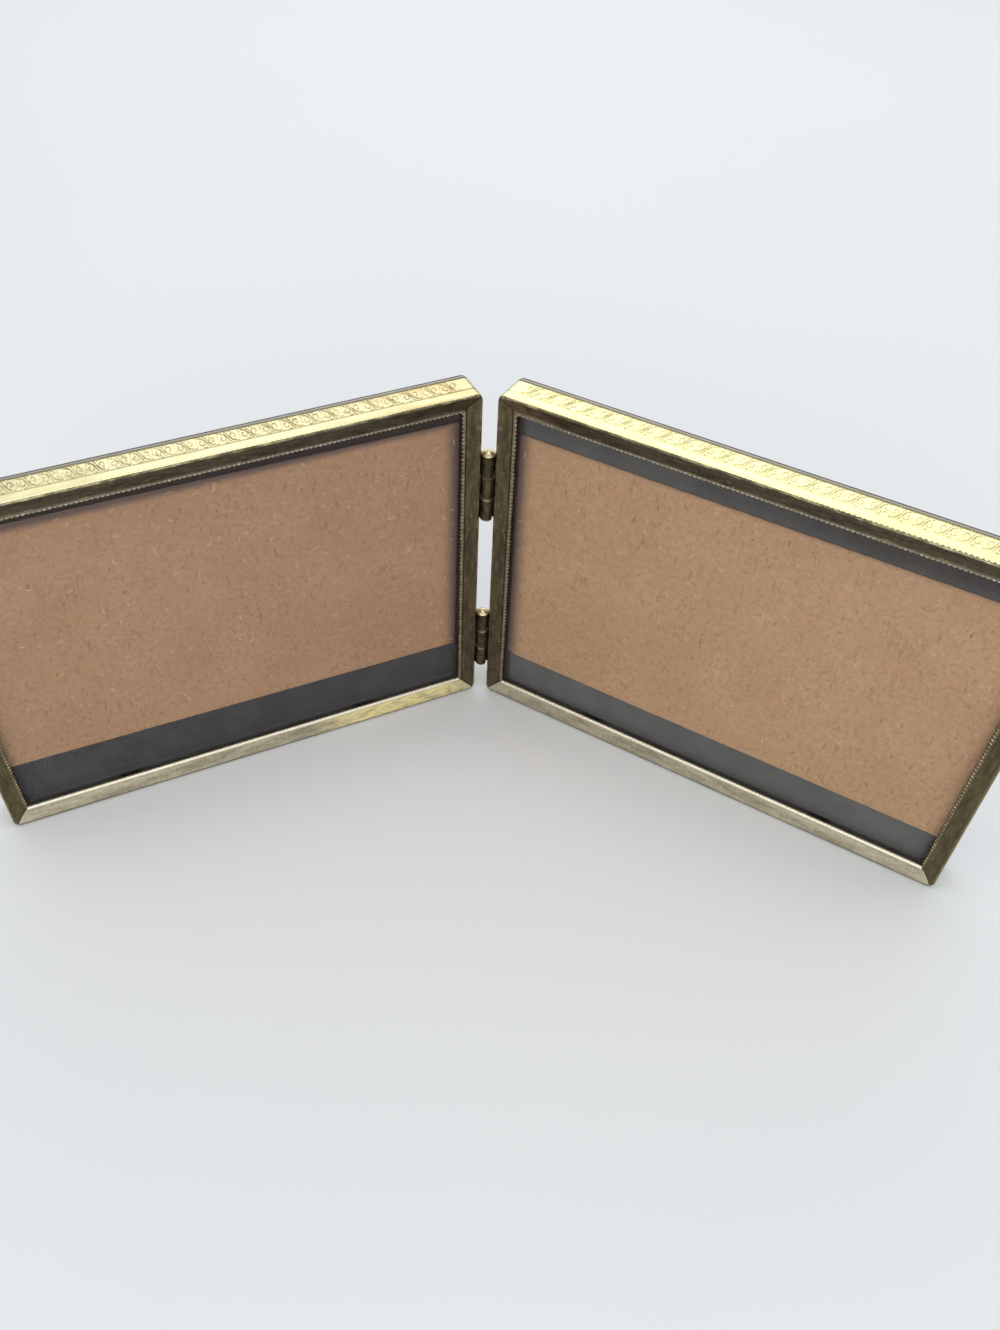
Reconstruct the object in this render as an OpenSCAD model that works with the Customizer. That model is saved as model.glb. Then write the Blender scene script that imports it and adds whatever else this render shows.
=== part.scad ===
// Hinged double photo frame: two landscape brass frames joined by two small
// three-knuckle hinges. It stands open as a V and folds shut like a book.
// Millimetres, +Z up. The frame stands on z = 0 and the V opens towards -Y.

/* [Leaf] */
// Outer width of one leaf
leaf_w = 134.6; // [120:0.1:180]
// Outer height of one leaf
leaf_h = 96.5; // [93:0.1:140]
// Depth of the moulding from front arris to back rim
leaf_depth = 10.3; // [9.5:0.1:16]
// Angle between the two fronts as the frame stands
open_angle = 124; // [90:1:170]
// Radius of the outer corners
corner_r = 2; // [1.2:0.1:3]

/* [Moulding] */
// Thickness of the brass sheet
sheet_t = 0.6; // [0.4:0.05:0.8]
// Width of the front face from outer wall to sight edge
face_w = 4.75; // [4.2:0.05:6]
// How far the front face slopes back over its width
face_drop = 1.85; // [1.2:0.05:2.2]
// Radius of the bead along the sight edge
bead_r = 0.65; // [0.45:0.05:0.8]
// Radius of the rolled rim along the back edge
rim_r = 0.75; // [0.5:0.05:0.9]
// Radius of the fine lines pressed into the outer wall
line_r = 0.3; // [0.15:0.05:0.35]
// Depth of the fine lines
line_depth = 0.16; // [0.05:0.01:0.25]
// Distance from the front arris to the front line
line_setback = 3.3; // [2.5:0.1:4]

/* [Glass and back] */
// How far the glass reaches behind the face past the sight edge
glass_overlap = 1; // [0.5:0.05:1.4]
// Thickness of the glass
glass_t = 1.5; // [1:0.1:1.8]
// Flat ground on the back of the bead where the glass seats
bead_land = 0.1; // [0.05:0.01:0.2]
// Thickness of the kraft card
card_t = 0.4; // [0.2:0.05:0.6]
// Height of the kraft card
card_h = 71; // [50:0.5:75]
// Space at each end of the card
card_side_gap = 0.9; // [0.8:0.05:3]
// How far the right card sits above the middle of its leaf
right_card_lift = 1.8; // [-4:0.1:4]
// How far the left card has slipped above the middle of its leaf
left_card_lift = 4.9; // [-4:0.1:5]
// Tilt of the slipped left card in degrees
left_card_tilt = 0.65; // [0:0.05:0.7]
// Thickness of the black backing board
board_t = 2; // [1:0.1:2.1]
// Thickness of the cloth-covered back panel
cover_t = 1; // [0.6:0.1:1.1]
// Space round the back panel as it passes the rolled rim
cover_gap = 0.5; // [0.3:0.05:1]
// Corner radius of the back panel
cover_corner_r = 2; // [1:0.1:4]

/* [Corner keys] */
// Length of each leg of a corner key
key_l = 12; // [8:0.5:20]
// Thickness of a corner key
key_t = 1.2; // [0.8:0.1:2]
// Space between the keys and the edge of the glass
key_gap = 0.5; // [0.2:0.05:0.8]

/* [Retaining tabs] */
// Width of a tab
tab_w = 6; // [4:0.5:10]
// Reach of a tab over the back panel
tab_l = 7; // [5:0.5:12]
// Thickness of a tab
tab_t = 0.4; // [0.3:0.05:0.5]
// Height of the tab's leg against the wall
tab_leg = 1.4; // [1:0.1:1.45]
// Distance of the tabs on the rails from the ends of the leaf
tab_inset = 33; // [20:1:45]

/* [Hinges] */
// Distance from the hinge axis to the edge of each leaf
edge_gap = 1.5; // [1.5:0.05:1.8]
// How far the hinge axis stands in front of the front arris
axis_forward = 0.3; // [0.2:0.05:1]
// Diameter of the hinge barrel
barrel_d = 2.9; // [2.5:0.1:2.9]
// Height of one hinge
hinge_h = 19; // [16:0.5:20]
// Height of the lower hinge above the floor
lower_hinge_z = 10.7; // [8:0.1:16]
// Distance from the top of the leaf down to the upper hinge
upper_hinge_drop = 16.3; // [10:0.1:20]
// Axial gap between two knuckles
knuckle_gap = 0.15; // [0.1:0.05:0.4]
// Thickness of the hinge plates
plate_t = 0.6; // [0.5:0.05:0.65]
// Distance from the hinge axis to the back edge of the plates
plate_reach = 8.6; // [7:0.1:8.8]
// Corner radius of the hinge plates
plate_corner_r = 1; // [0.5:0.1:1.5]
// Diameter of the hinge pin
pin_d = 1.3; // [1:0.05:1.5]
// Running clearance round the pin in the middle knuckle
pin_gap = 0.05; // [0.02:0.01:0.08]
// Diameter of the pin's domed head
pin_head_d = 3.5; // [2.9:0.1:3.5]
// Height of the pin's domed head
pin_head_h = 1.1; // [0.4:0.05:1.4]
// Height of the pin's riveted lower end
pin_foot_h = 0.4; // [0.2:0.05:0.8]

/* [Rivets] */
// Shank diameter of the rivets
rivet_d = 1.2; // [0.8:0.05:1.4]
// Head diameter of the rivets
rivet_head_d = 2.2; // [1.8:0.05:2.6]
// Height of the rivet heads
rivet_head_h = 0.4; // [0.2:0.05:0.4]
// Diameter of the closed ends inside the wall
rivet_tail_d = 1.8; // [1.5:0.05:2.2]
// Height of the closed ends
rivet_tail_h = 0.35; // [0.2:0.05:0.45]
// Distance of the rivets from the ends of the plate
rivet_inset = 4; // [3:0.1:5]
// Distance from the hinge axis to the rivets
rivet_reach = 5.7; // [4.5:0.1:6]

/* [Hidden] */
$fn = 64;
eps = 1;
lean = (180 - open_angle) / 2;
slope = atan(face_drop / face_w);
arris_y = sheet_t * (1 + sin(slope)) / cos(slope);
bead_s = face_w - bead_r;
bead_y = bead_s * tan(slope) + sheet_t / 2 / cos(slope);
glass_y = bead_y + bead_r - bead_land;
card_y = glass_y + glass_t;
board_y = card_y + card_t;
cover_y = board_y + board_t;
tab_y = cover_y + cover_t;
glass_edge = face_w - glass_overlap;
glass_w = leaf_w - 2 * glass_edge;
glass_h = leaf_h - 2 * glass_edge;
card_w = glass_w - 2 * card_side_gap;
cover_edge = 2 * rim_r + cover_gap;
key_w = glass_edge - sheet_t - key_gap;
key_y = (sheet_t + key_w) * tan(slope) + sheet_t / cos(slope);
barrel_r = barrel_d / 2;
pin_r = pin_d / 2;
knuckle_h = (hinge_h - 2 * knuckle_gap) / 3;
plate_x = edge_gap - plate_t;
// The plates start where they clear the other leaf's knuckles
plate_start = sqrt(pow(barrel_r + plate_t / 4, 2) - pow(plate_x, 2));
upper_hinge_z = leaf_h - upper_hinge_drop - hinge_h;
hinge_levels = [lower_hinge_z, upper_hinge_z];
// Front and back reach of the standing V, measured from the hinge axis
front_reach = (edge_gap + leaf_w - sheet_t) * sin(lean) + sheet_t
    - (axis_forward + arris_y) * cos(lean);
back_reach = (axis_forward + leaf_depth - rim_r) * cos(lean) + rim_r
    - (edge_gap + rim_r) * sin(lean);
axis_y = (front_reach - back_reach) / 2;

// Puts a piece drawn from the hinge axis outwards on the right or left leaf
module on_right() {
    translate([0, axis_y, 0]) rotate([0, 0, -lean]) children();
}

module on_left() {
    translate([0, axis_y, 0]) mirror([1, 0, 0]) rotate([0, 0, -lean]) children();
}

// Moves from the hinge axis to the leaf's own corner at its front arris
module from_corner() {
    translate([edge_gap, axis_forward, 0]) children();
}

// Extrudes an outline drawn in x and z from depth y to y + t
module slab(y, t) {
    translate([0, y + t, 0]) rotate([90, 0, 0]) linear_extrude(t) children();
}

// Section of the moulding: x is the depth, y the distance from the outer wall
module moulding_section() {
    difference() {
        union() {
            translate([arris_y, 0]) square([leaf_depth - rim_r - arris_y, sheet_t]);
            translate([arris_y, sheet_t]) circle(sheet_t);
            face_sheet();
            lip_bead();
            translate([leaf_depth - rim_r, rim_r]) circle(rim_r);
        }
        for (y = [line_setback, leaf_depth - 2 * rim_r - line_r])
            translate([y, line_depth - line_r]) circle(line_r, $fn = 32);
    }
}

// Sloped front face between the front arris and the bead
module face_sheet() {
    start = sheet_t * (1 + sin(slope));
    back = sheet_t / cos(slope);
    polygon([
        [start * tan(slope), start],
        [bead_s * tan(slope), bead_s],
        [bead_s * tan(slope) + back, bead_s],
        [sheet_t * tan(slope) + back, sheet_t],
        [arris_y, sheet_t]
    ]);
}

// Bead along the sight edge with its flat seat for the glass
module lip_bead() {
    intersection() {
        translate([bead_y, bead_s]) circle(bead_r);
        translate([bead_y - 2 * bead_r, bead_s - 2 * bead_r])
            square([3 * bead_r - bead_land, 4 * bead_r]);
    }
}

// One rail lying along x with its outer wall on z = 0 and mitred ends
module moulding(length) {
    reach = face_w + eps;
    intersection() {
        rotate([90, 0, 90]) linear_extrude(length) moulding_section();
        slab(-eps, leaf_depth + 2 * eps)
            polygon([
                [corner_r, -eps],
                [length - corner_r, -eps],
                [length - corner_r, corner_r],
                [length - reach, reach],
                [reach, reach],
                [corner_r, corner_r]
            ]);
    }
    for (end = [0, 1])
        translate([end * length, 0, 0]) mirror([end, 0, 0]) corner_bend();
}

// Half of a rounded outer corner: a bend as far as the mitre, and a straight
// stub of the wall that laps into the rail
module corner_bend() {
    translate([corner_r, 0, corner_r]) rotate([-90, 0, 0]) rotate([0, 0, 90])
        rotate_extrude(angle = 45)
        intersection() {
            translate([corner_r, 0]) rotate(90) moulding_section();
            translate([0, -eps]) square([corner_r + eps, leaf_depth + 2 * eps]);
        }
    translate([corner_r, 0, 0]) rotate([90, 0, 90]) linear_extrude(corner_r)
        intersection() {
            moulding_section();
            translate([-eps, -eps]) square([leaf_depth + 2 * eps, corner_r + eps]);
        }
}

module bottom_rail() {
    color("darkkhaki") from_corner() moulding(leaf_w);
}

module top_rail() {
    color("khaki") from_corner()
        translate([0, 0, leaf_h]) mirror([0, 0, 1]) moulding(leaf_w);
}

// The hinge stile is drilled for the rivets of both hinges
module hinge_stile() {
    color("darkolivegreen") difference() {
        from_corner() mirror([1, 0, -1]) moulding(leaf_h);
        rivet_places() rivet_shank();
    }
}

module outer_stile() {
    color("darkolivegreen") from_corner()
        translate([leaf_w, 0, 0]) mirror([1, 0, 0]) mirror([1, 0, -1]) moulding(leaf_h);
}

// Four L-shaped keys lie in the channel and centre the glass
module corner_keys() {
    color("dimgray") from_corner()
        for (x = [0, 1], z = [0, 1])
            translate([x * leaf_w, 0, z * leaf_h])
                mirror([x, 0, 0]) mirror([0, 0, z]) corner_key();
}

module corner_key() {
    slab(key_y, key_t) intersection() {
        translate([sheet_t, sheet_t]) union() {
            square([key_l, key_w]);
            square([key_w, key_l]);
        }
        union() {
            translate([corner_r, corner_r]) circle(corner_r - sheet_t);
            translate([corner_r, sheet_t]) square([key_l, key_l]);
            translate([sheet_t, corner_r]) square([key_l, key_l]);
        }
    }
}

module glass() {
    color("lightcyan", 0.4) from_corner() translate([glass_edge, glass_y, glass_edge])
        cube([glass_w, glass_t, glass_h]);
}

module card(lift, tilt) {
    color("tan") from_corner()
        translate([leaf_w / 2, card_y, leaf_h / 2 + lift]) rotate([0, -tilt, 0])
            translate([-card_w / 2, 0, -card_h / 2]) cube([card_w, card_t, card_h]);
}

module backing_board() {
    color("darkslategray") from_corner() translate([glass_edge, board_y, glass_edge])
        cube([glass_w, board_t, glass_h]);
}

module back_cover() {
    w = leaf_w - 2 * cover_edge;
    h = leaf_h - 2 * cover_edge;
    r = cover_corner_r;
    color("black") from_corner() translate([cover_edge, 0, cover_edge])
        slab(cover_y, cover_t) union() {
            translate([r, 0]) square([w - 2 * r, h]);
            translate([0, r]) square([w, h - 2 * r]);
            for (x = [r, w - r], z = [r, h - r])
                translate([x, z]) circle(r);
        }
}

// A bent tab on each wall holds the back panel, two on the long rails
module retaining_tabs() {
    color("goldenrod") from_corner() {
        for (x = [tab_inset, leaf_w - tab_inset]) {
            translate([x, tab_y, sheet_t]) tab();
            translate([x, tab_y, leaf_h - sheet_t]) mirror([0, 0, 1]) tab();
        }
        translate([sheet_t, tab_y, leaf_h / 2]) rotate([0, 90, 0]) tab();
        translate([leaf_w - sheet_t, tab_y, leaf_h / 2]) rotate([0, -90, 0]) tab();
    }
}

// Tab standing on a wall at z = 0, with a round tongue over the back panel
module tab() {
    slab(0, tab_t) union() {
        translate([-tab_w / 2, 0]) square([tab_w, tab_l - tab_w / 2]);
        translate([0, tab_l - tab_w / 2]) circle(tab_w / 2);
    }
    translate([-tab_w / 2, 0, 0]) cube([tab_w, tab_leg, tab_t]);
}

// The eight rivets sit in pairs at the height of each hinge
module rivet_places() {
    for (level = hinge_levels, z = [rivet_inset, hinge_h - rivet_inset])
        translate([plate_x, rivet_reach, level + z]) rotate([0, 90, 0]) children();
}

module rivet_shank() {
    cylinder(d = rivet_d, h = plate_t + sheet_t + rivet_tail_h);
}

module rivets() {
    color("gold") rivet_places() {
        rivet_shank();
        rotate([180, 0, 0]) dome(rivet_head_d, rivet_head_h);
        translate([0, 0, plate_t + sheet_t]) cylinder(d = rivet_tail_d, h = rivet_tail_h);
    }
}

// Shallow dome of diameter d and height h standing on z = 0
module dome(d, h) {
    ball_r = (d * d / 4 + h * h) / (2 * h);
    intersection() {
        translate([0, 0, h - ball_r]) sphere(ball_r);
        cylinder(d = d, h = 2 * h);
    }
}

// Barrel knuckle number i counted from the bottom, with its rolled plate root
module knuckle(i) {
    translate([0, 0, i * (knuckle_h + knuckle_gap)]) {
        cylinder(r = barrel_r, h = knuckle_h);
        translate([plate_x, 0, 0]) cube([plate_t, plate_start + eps, knuckle_h]);
    }
}

// One hinge leaf: plate on the side wall, its knuckles and the rivet holes
module hinge_leaf(z, knuckles, bore_r) {
    color("darkgoldenrod") difference() {
        translate([0, 0, z]) union() {
            for (i = knuckles) knuckle(i);
            plate();
        }
        translate([0, 0, z - eps]) cylinder(r = bore_r, h = hinge_h + 2 * eps);
        rivet_places() rivet_shank();
    }
}

// Plate against the side wall, with rounded corners at its back edge
module plate() {
    r = plate_corner_r;
    translate([plate_x, 0, 0]) rotate([90, 0, 90]) linear_extrude(plate_t) union() {
        translate([plate_start, 0]) square([plate_reach - r - plate_start, hinge_h]);
        translate([plate_start, r]) square([plate_reach - plate_start, hinge_h - 2 * r]);
        for (z = [r, hinge_h - r])
            translate([plate_reach - r, z]) circle(r);
    }
}

// Pin with a domed head on the barrel and a riveted lower end
module hinge_pin(z) {
    color("gold") translate([0, 0, z]) {
        translate([0, 0, -pin_foot_h]) cylinder(d = pin_d, h = hinge_h + pin_foot_h);
        translate([0, 0, hinge_h]) dome(pin_head_d, pin_head_h);
        translate([0, 0, -pin_foot_h]) cylinder(d1 = pin_d, d2 = pin_d * 1.5, h = pin_foot_h);
    }
}

module left_top_rail() { on_left() top_rail(); }
module left_bottom_rail() { on_left() bottom_rail(); }
module left_hinge_stile() { on_left() hinge_stile(); }
module left_outer_stile() { on_left() outer_stile(); }
module left_corner_keys() { on_left() corner_keys(); }
module left_glass() { on_left() glass(); }
module left_card() { on_left() card(left_card_lift, left_card_tilt); }
module left_backing_board() { on_left() backing_board(); }
module left_back_cover() { on_left() back_cover(); }
module left_retaining_tabs() { on_left() retaining_tabs(); }
module left_hinge_rivets() { on_left() rivets(); }
module right_top_rail() { on_right() top_rail(); }
module right_bottom_rail() { on_right() bottom_rail(); }
module right_hinge_stile() { on_right() hinge_stile(); }
module right_outer_stile() { on_right() outer_stile(); }
module right_corner_keys() { on_right() corner_keys(); }
module right_glass() { on_right() glass(); }
module right_card() { on_right() card(right_card_lift, 0); }
module right_backing_board() { on_right() backing_board(); }
module right_back_cover() { on_right() back_cover(); }
module right_retaining_tabs() { on_right() retaining_tabs(); }
module right_hinge_rivets() { on_right() rivets(); }
module upper_hinge_left_leaf() { on_left() hinge_leaf(upper_hinge_z, [0, 2], pin_r); }
module upper_hinge_right_leaf() { on_right() hinge_leaf(upper_hinge_z, [1], pin_r + pin_gap); }
module upper_hinge_pin() { on_left() hinge_pin(upper_hinge_z); }
module lower_hinge_left_leaf() { on_left() hinge_leaf(lower_hinge_z, [0, 2], pin_r); }
module lower_hinge_right_leaf() { on_right() hinge_leaf(lower_hinge_z, [1], pin_r + pin_gap); }
module lower_hinge_pin() { on_left() hinge_pin(lower_hinge_z); }

left_top_rail();
left_bottom_rail();
left_hinge_stile();
left_outer_stile();
left_corner_keys();
left_glass();
left_card();
left_backing_board();
left_back_cover();
left_retaining_tabs();
left_hinge_rivets();
right_top_rail();
right_bottom_rail();
right_hinge_stile();
right_outer_stile();
right_corner_keys();
right_glass();
right_card();
right_backing_board();
right_back_cover();
right_retaining_tabs();
right_hinge_rivets();
upper_hinge_left_leaf();
upper_hinge_right_leaf();
upper_hinge_pin();
lower_hinge_left_leaf();
lower_hinge_right_leaf();
lower_hinge_pin();
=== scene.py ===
import math
import random

import bmesh
import bpy
from mathutils import Euler, Matrix, Vector


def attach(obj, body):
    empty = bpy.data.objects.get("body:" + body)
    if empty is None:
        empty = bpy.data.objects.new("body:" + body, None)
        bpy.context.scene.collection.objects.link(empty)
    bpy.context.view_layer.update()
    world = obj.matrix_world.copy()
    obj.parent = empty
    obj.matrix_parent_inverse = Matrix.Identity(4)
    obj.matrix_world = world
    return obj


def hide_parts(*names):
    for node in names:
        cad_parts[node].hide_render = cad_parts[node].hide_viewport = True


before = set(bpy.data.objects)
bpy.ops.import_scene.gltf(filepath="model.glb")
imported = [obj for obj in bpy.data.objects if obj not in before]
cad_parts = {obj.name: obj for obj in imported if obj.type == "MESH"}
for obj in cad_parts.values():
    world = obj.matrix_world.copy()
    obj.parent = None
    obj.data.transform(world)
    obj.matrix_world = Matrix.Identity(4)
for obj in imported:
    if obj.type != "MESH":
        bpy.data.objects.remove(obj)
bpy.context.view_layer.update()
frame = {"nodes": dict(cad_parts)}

# Sizes of the real frame in millimetres, as the source gives them
LEAF_W, LEAF_H = 134.6, 96.5
# How far each leaf is turned from flat, the hinge axis behind the origin, and a leaf from the axis
LEAN = math.radians(28)
AXIS_Y = 27.391464
CORNER_X, CORNER_Y = 1.5, 0.3
# What each leaf holds: in from its walls, back from its front, and the card's slip and tilt
SIGHT_EDGE = 3.75
GLASS_Y, GLASS_T = 2.469, 1.5
CARD_Y, CARD_T, CARD_W, CARD_H = 3.969, 0.4, 125.3, 71.0
CARD_LIFT = {"left": 4.9, "right": 1.8}
CARD_TILT = {"left": 0.65, "right": 0.0}
LIP_IN, LIP_Y = 4.10, 1.919
BAND_FRONT, BAND_BACK = 3.3, 8.5
HINGE_LEVELS, HINGE_H = (10.7, 61.2), 19.0
KNUCKLES, KNUCKLE_GAP = 3, 0.15
KNUCKLE_STEP = (HINGE_H + KNUCKLE_GAP) / KNUCKLES

NODES, SIDES, HINGES = frame["nodes"], ("left", "right"), ("upper", "lower")


# Places


def leaf_to_world(side):
    """The matrix that carries a leaf's own millimetres to the shared frame in metres."""
    lean = Matrix.Rotation(-LEAN, 4, "Z") @ Matrix.Translation((CORNER_X, CORNER_Y, 0))
    if side == "left":
        lean = Matrix.Scale(-1, 4, (1, 0, 0)) @ lean
    return Matrix.Scale(0.001, 4) @ Matrix.Translation((0, AXIS_Y, 0)) @ lean


def seat(mesh, side):
    """Moves a mesh made in a leaf's millimetres to its place on that leaf."""
    mesh.transform(leaf_to_world(side))
    if side == "left":
        mesh.flip_normals()
    mesh.update()
    return mesh


def piece(name, mesh, side, replaces=None, smooth=True):
    """Puts a finished mesh in the scene as a piece that rides on one leaf."""
    obj = bpy.data.objects.new(name, mesh)
    bpy.context.scene.collection.objects.link(obj)
    mesh.polygons.foreach_set("use_smooth", [smooth] * len(mesh.polygons))
    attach(obj, side + "_leaf")
    if replaces:
        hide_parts(replaces)


# Short calls for building nodes


class Nodes:
    """Adds nodes to a tree and fills their sockets with values or links."""

    def __init__(self, tree):
        self.tree = tree

    def add(self, kind, inputs=None, **settings):
        node = self.tree.nodes.new(kind)
        for key, value in settings.items():
            setattr(node, key, value)
        for key, value in (inputs or {}).items():
            self.put(node.inputs[key], value)
        return node

    def put(self, socket, value):
        if isinstance(value, bpy.types.NodeSocket):
            self.tree.links.new(value, socket)
        elif isinstance(value, (tuple, list)) and len(value) == 3 and socket.type == "RGBA":
            socket.default_value = (*value, 1)
        else:
            socket.default_value = value


class Finish(Nodes):
    """One procedural material, built on its Principled shader."""

    def __init__(self, name, rough=0.4, metal=0.0):
        self.mat = bpy.data.materials.new(name)
        self.mat.use_nodes = True
        super().__init__(self.mat.node_tree)
        self.shader = self.tree.nodes["Principled BSDF"]
        self.shader.inputs["Roughness"].default_value = rough
        self.shader.inputs["Metallic"].default_value = metal

    def calc(self, operation, a, b=0.0, clamp=False):
        node = self.add("ShaderNodeMath", {0: a, 1: b}, operation=operation, use_clamp=clamp)
        return node.outputs[0]

    def plus(self, a, b, clamp=False):
        return self.calc("ADD", a, b, clamp)

    def minus(self, a, b, clamp=False):
        return self.calc("SUBTRACT", a, b, clamp)

    def times(self, a, b):
        return self.calc("MULTIPLY", a, b)

    def window(self, value, low, high, soft):
        """1 where value lies between low and high, with soft edges."""
        rise = self.ramp(value, low - soft, low + soft)
        fall = self.ramp(value, high - soft, high + soft)
        return self.minus(rise, fall, clamp=True)

    def ramp(self, value, low, high, start=0.0, end=1.0):
        """Goes smoothly from start to end while value goes from low to high."""
        inputs = {0: value, 1: low, 2: high, 3: start, 4: end}
        return self.add("ShaderNodeMapRange", inputs, interpolation_type="SMOOTHSTEP").outputs[0]

    def noise(self, where, scale, detail=3.0, rough=0.55, twist=0.0):
        inputs = {"Vector": where, "Scale": scale, "Detail": detail}
        inputs.update({"Roughness": rough, "Distortion": twist})
        return self.add("ShaderNodeTexNoise", inputs).outputs["Fac"]

    def stretch(self, where, scale, turn=(0, 0, 0), place=(0, 0, 0)):
        inputs = {"Vector": where, "Scale": scale, "Rotation": turn, "Location": place}
        return self.add("ShaderNodeMapping", inputs).outputs[0]

    def mix(self, share, low, high):
        node = self.add("ShaderNodeMix", data_type="RGBA")
        self.put(node.inputs[0], share)
        self.put(node.inputs[6], low)
        self.put(node.inputs[7], high)
        return node.outputs[2]

    def split(self, vector):
        return self.add("ShaderNodeSeparateXYZ", {0: vector}).outputs

    def join(self, x, y, z):
        return self.add("ShaderNodeCombineXYZ", {0: x, 1: y, 2: z}).outputs[0]

    def leaf_place(self, side):
        """Coordinates in a leaf's own millimetres."""
        flip = -1000 if side == "left" else 1000
        axis = Matrix.Rotation(LEAN, 3, "Z") @ Vector((0, AXIS_Y, 0))
        place = Vector((-CORNER_X, -CORNER_Y, 0)) - axis
        coords = self.add("ShaderNodeTexCoord").outputs["Object"]
        return self.stretch(coords, (flip, 1000, 1000), (0, 0, LEAN), place)

    def object_mm(self):
        coords = self.add("ShaderNodeTexCoord").outputs["Object"]
        return self.stretch(coords, (1000, 1000, 1000))

    def colour(self, value):
        self.put(self.shader.inputs["Base Color"], value)

    def rough(self, value):
        self.put(self.shader.inputs["Roughness"], value)

    def relief(self, height, depth_mm, strength=1.0):
        """Bumps the surface by a height field, given in millimetres."""
        inputs = {"Height": height, "Distance": depth_mm / 1000, "Strength": strength}
        bump = self.add("ShaderNodeBump", inputs)
        self.put(self.shader.inputs["Normal"], bump.outputs[0])

    def wear(self, node_name):
        """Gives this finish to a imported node."""
        slots = NODES[node_name].material_slots
        for i in range(len(slots)):
            slots[i].material = self.mat


# Aged brass of the four rails of each leaf

# Dark and light tone of each rail's sloped face: partly dark lacquer and partly painted light, for
# the tones differ by rail and the bottom rail's face is painted far brighter as a reflection of the
# lamps
RAIL_FACE = {
    "top_rail": ((0.046, 0.037, 0.023), (0.15, 0.122, 0.074)),
    "hinge_stile": ((0.062, 0.046, 0.026), (0.165, 0.130, 0.078)),
    "outer_stile": ((0.080, 0.064, 0.034), (0.19, 0.158, 0.084)),
    "bottom_rail": ((0.31, 0.270, 0.185), (0.62, 0.565, 0.42)),
}
# The line on each crest, rubbed and partly a painted highlight that is strongest on the bottom rail:
# its two edges in from the outer wall, softness and strength
RAIL_CREST = {
    "top_rail": (4.10, 4.50, 0.08, 0.38),
    "hinge_stile": (4.10, 4.50, 0.08, 0.20),
    "outer_stile": (4.10, 4.50, 0.08, 0.10),
    "bottom_rail": (3.72, 4.90, 0.12, 1.0),
}
# How far the face slopes back for each millimetre across it
FACE_RISE = 0.39
# Marks of the outer wall, and the rim painted grey as a reflection and dark at its back as shade, in
# millimetres back from the front
FRONT_LINE, BACK_GROOVE, PRESSED_BAND = (3.02, 3.58), (8.10, 8.85), (3.7, 8.2)
RIM_START, RIM_END = (8.62, 8.82), (9.22, 9.46)
# From one nick of the top arris to the next
NICK_PITCH = 1.15


class RailMap:
    """Places along, across and deep into a rail's moulding, and the noises that wear it and scatter
    its painted glints.
    """

    def __init__(self, f, side, rail):
        x, self.depth, z = f.split(f.leaf_place(side))
        if rail in ("top_rail", "bottom_rail"):
            self.along, self.length = x, LEAF_W
            self.across = z if rail == "bottom_rail" else f.minus(LEAF_H, z)
        else:
            self.along, self.length = z, LEAF_H
            self.across = x if rail == "hinge_stile" else f.minus(LEAF_W, x)
        way = f.join(self.along, self.across, self.depth)
        self.blotch = f.noise(f.stretch(way, (0.09, 0.5, 0.35)), 1.0, 4.0, 0.6)
        self.speck = f.noise(way, 2.4, 4.0, 0.65)
        self.streak = f.noise(f.stretch(way, (2.4, 0.40, 0.40)), 1.0, 3.0, 0.55)
        self.rub = f.noise(f.stretch(way, (0.35, 1.1, 1.1)), 1.0, 5.0, 0.62)
        self.press = f.noise(f.stretch(way, (1.25, 1.0, 1.25)), 1.0, 4.0, 0.7, 0.8)
        self.glint = f.noise(f.stretch(way, (0.9, 0.9, 0.9), place=(31, 7, 0)), 1.2, 3.0, 0.7)


def wall_share(f, at, side, rail):
    """1 on the outer wall and 0 on the face. The arris between them is nicked on a top rail."""
    front = at.depth
    if rail == "top_rail":
        nicks = f.calc("SINE", f.times(at.along, math.tau / NICK_PITCH))
        reach = f.ramp(at.along, 55, 115, 0.02, 0.12) if side == "right" else 0.03
        front = f.plus(at.depth, f.times(f.minus(nicks, 1.0), reach))
    return f.times(f.ramp(at.across, 0.42, 0.22), f.ramp(front, 0.35, 0.6))


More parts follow.
